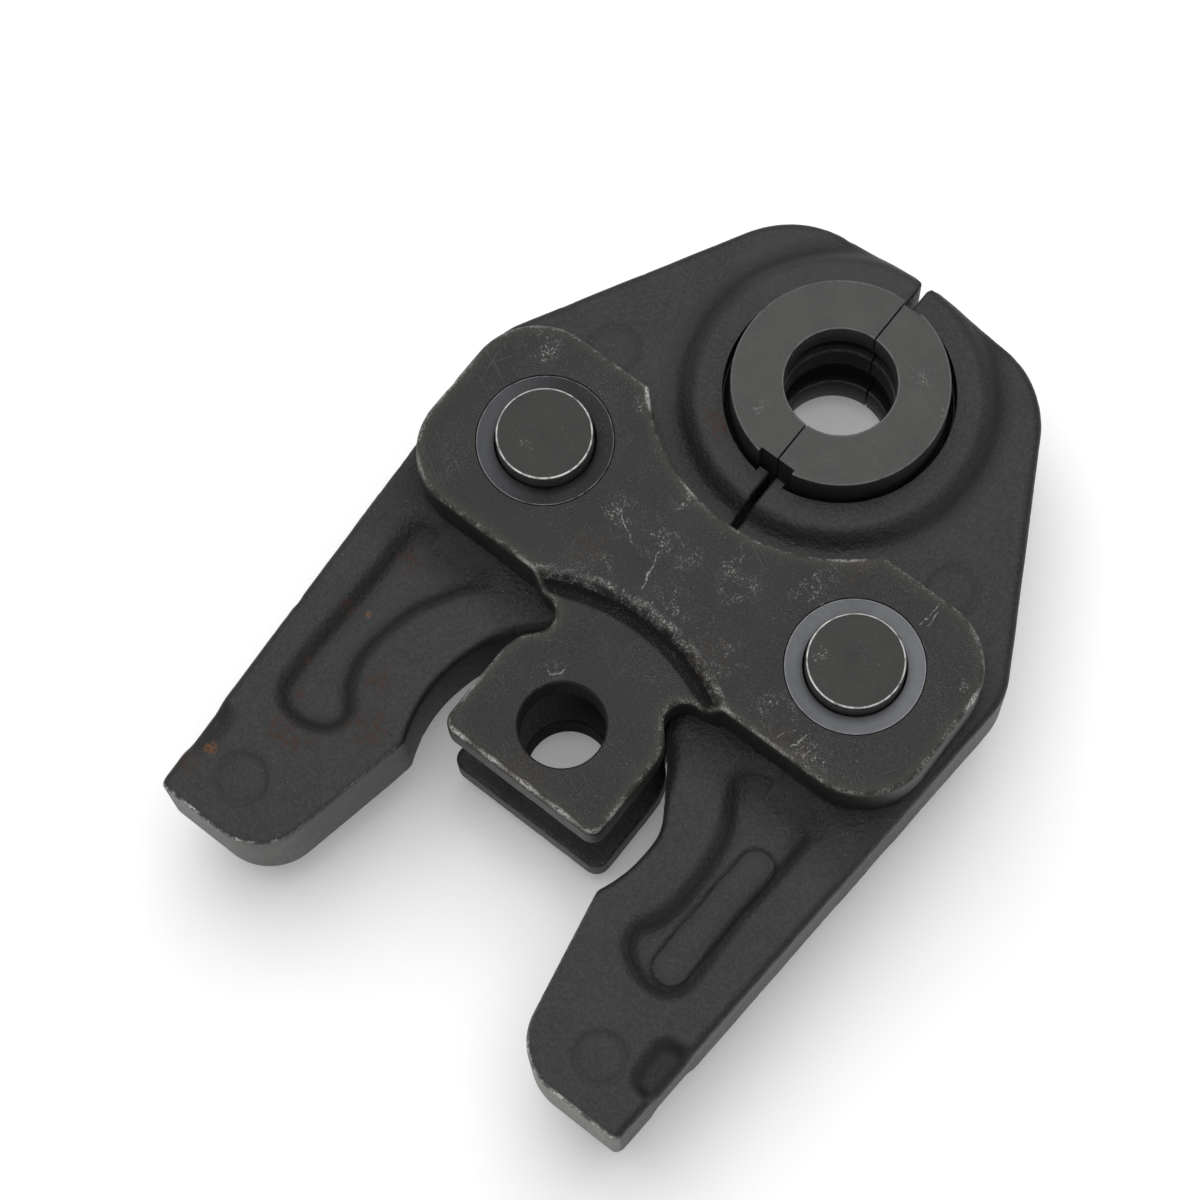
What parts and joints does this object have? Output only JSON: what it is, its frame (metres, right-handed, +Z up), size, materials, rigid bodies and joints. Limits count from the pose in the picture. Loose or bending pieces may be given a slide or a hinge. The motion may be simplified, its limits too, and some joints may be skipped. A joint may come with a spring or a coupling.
{
  "type": "press fitting tool jaw",
  "caption": "Hinged press jaw: forged arms on pivot pins between side plates with a mounting lug, gripping a split ribbed die insert for pressing pipe fittings.",
  "frame": {"origin": "centre of the underside: between the two rear pin ends in height, mid-width, mid-length", "axes": "+Y from the mounting lug to the die, +X to the right arm, +Z up along the pivot pins to the front plate"},
  "size_m": [0.1042, 0.1446, 0.042],
  "materials": {
    "arm_steel": "forged, black oxide",
    "plate_steel": "machined, black oxide, worn edges",
    "insert_steel": "turned, dark oxide",
    "pin_steel": "ground, dark, scratched ends",
    "ring_steel": "blued spring steel",
    "spring_steel": "oiled spring wire"
  },
  "bodies": {
    "root": {"front_side_plate": "plate_steel", "rear_side_plate": "plate_steel", "left_pivot_pin": "pin_steel", "right_pivot_pin": "pin_steel", "left_front_retaining_ring": "ring_steel", "right_front_retaining_ring": "ring_steel", "left_rear_retaining_ring": "ring_steel", "right_rear_retaining_ring": "ring_steel", "spring_pin": "pin_steel", "closing_spring": "spring_steel"},
    "left_arm": {"left_jaw_arm": "arm_steel", "left_die_insert": "insert_steel", "left_lock_pin": "pin_steel", "left_lock_spring": "spring_steel"},
    "right_arm": {"right_jaw_arm": "arm_steel", "right_die_insert": "insert_steel", "right_lock_pin": "pin_steel", "right_lock_spring": "spring_steel"}
  },
  "joints": [
    {"name": "left_arm_pivot", "type": "hinge", "parent": "root", "child": "left_arm", "pos_m": [-0.0313, 0.00885, 0.021], "axis": [0, 0, 1], "range_deg": [0, 12], "stiffness_Nm_per_rad": 2, "springref_deg": -5.73, "deforming": ["closing_spring"]},
    {"name": "right_arm_pivot", "type": "hinge", "parent": "root", "child": "right_arm", "pos_m": [0.0313, 0.00885, 0.021], "axis": [0, 0, -1], "range_deg": [0, 12], "stiffness_Nm_per_rad": 2, "springref_deg": -5.73, "deforming": ["closing_spring"]}
  ]
}
